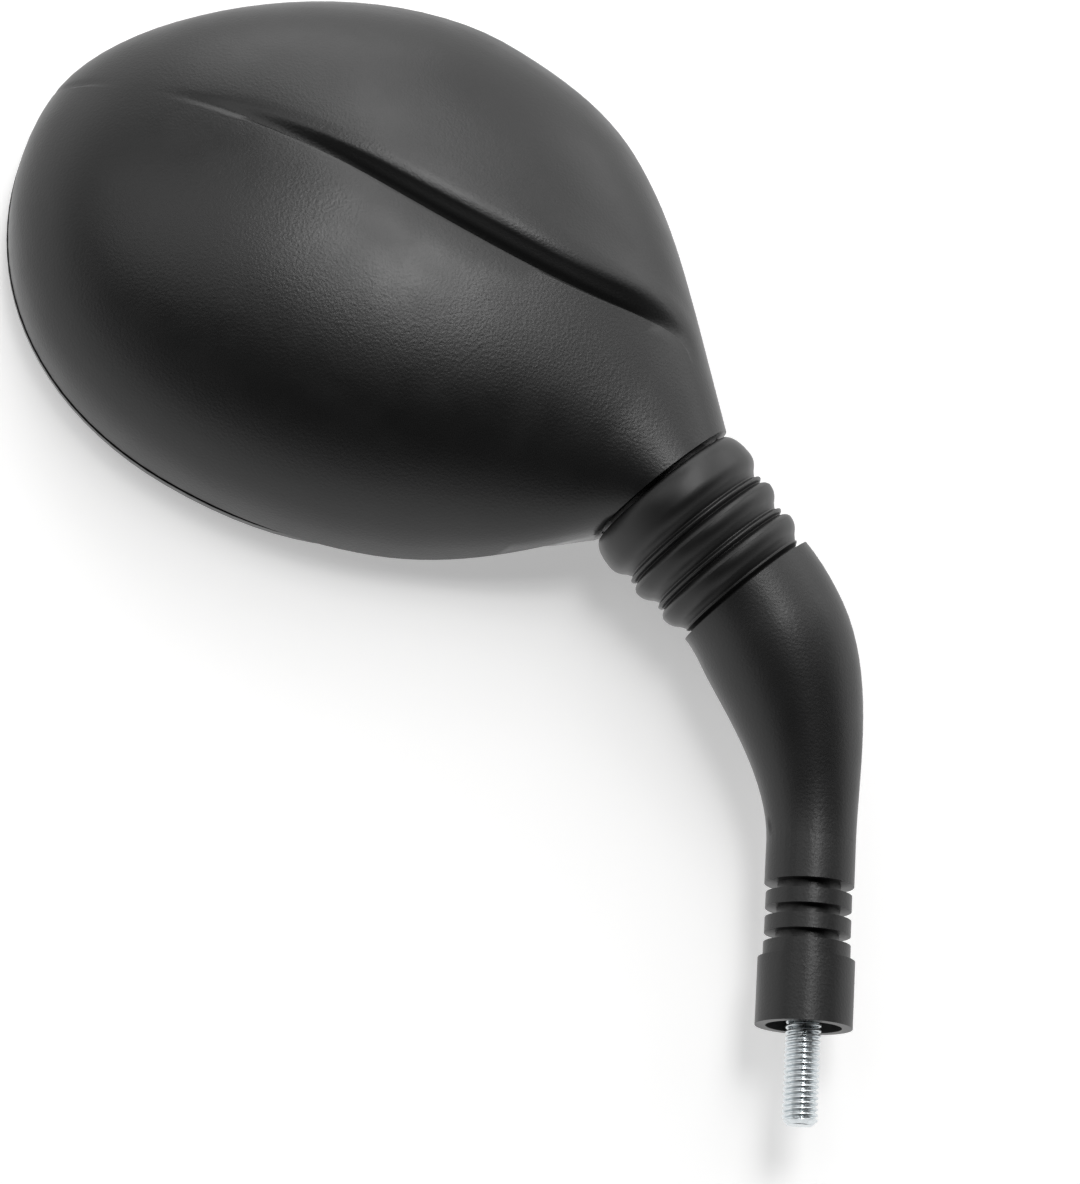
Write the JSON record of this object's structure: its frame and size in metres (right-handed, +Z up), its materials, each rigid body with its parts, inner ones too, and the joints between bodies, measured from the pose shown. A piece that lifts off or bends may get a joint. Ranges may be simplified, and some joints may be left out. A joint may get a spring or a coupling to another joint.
{
  "type": "motorcycle mirror",
  "caption": "Left motorcycle mirror with an egg shaped black housing, rubber boot, bent arm and threaded stud.",
  "frame": {"origin": "centre of the stud in the lower plane of the arm's collar", "axes": "+Z up along the stud into the arm, +Y the way the glass faces, -X towards the head"},
  "size_m": [0.2068, 0.0473, 0.2606],
  "materials": {
    "housing_plastic": "matte, fine grain",
    "arm_plastic": "satin",
    "boot_rubber": "satin",
    "hidden_plastic": "matte",
    "nylon": "smooth",
    "foam": "matte",
    "seal_rubber": "matte",
    "mirror": "polished",
    "zinc_steel": "zinc plated",
    "spring_steel": "blackened"
  },
  "bodies": {
    "arm": {"arm_cover": "arm_plastic", "rod": "zinc_steel", "ball": "zinc_steel", "ball_pin": "spring_steel", "mouth_bush": "hidden_plastic", "lock_nut": "zinc_steel", "nut_washer": "zinc_steel"},
    "swivel": {"boot": "boot_rubber", "liner_lower": "nylon", "liner_upper": "nylon"},
    "head": {"housing": "housing_plastic", "bezel": "housing_plastic", "mirror_glass": "mirror", "glass_pad": "foam", "glass_seal": "seal_rubber", "glass_carrier": "hidden_plastic", "clamp_plate": "zinc_steel", "clamp_screws": "zinc_steel", "clamp_springs": "spring_steel", "clamp_washers": "zinc_steel"}
  },
  "joints": [
    {"name": "head_turn", "type": "hinge", "parent": "arm", "child": "swivel", "pos_m": [-0.04824, 0, 0.13209], "axis": [-0.6858, 0, 0.7278], "range_deg": [-20, 20]},
    {"name": "head_tilt", "type": "hinge", "parent": "swivel", "child": "head", "pos_m": [-0.04824, 0, 0.13209], "axis": [0.7278, 0, 0.6858], "range_deg": [-12, 12], "deforming": ["boot"]}
  ]
}
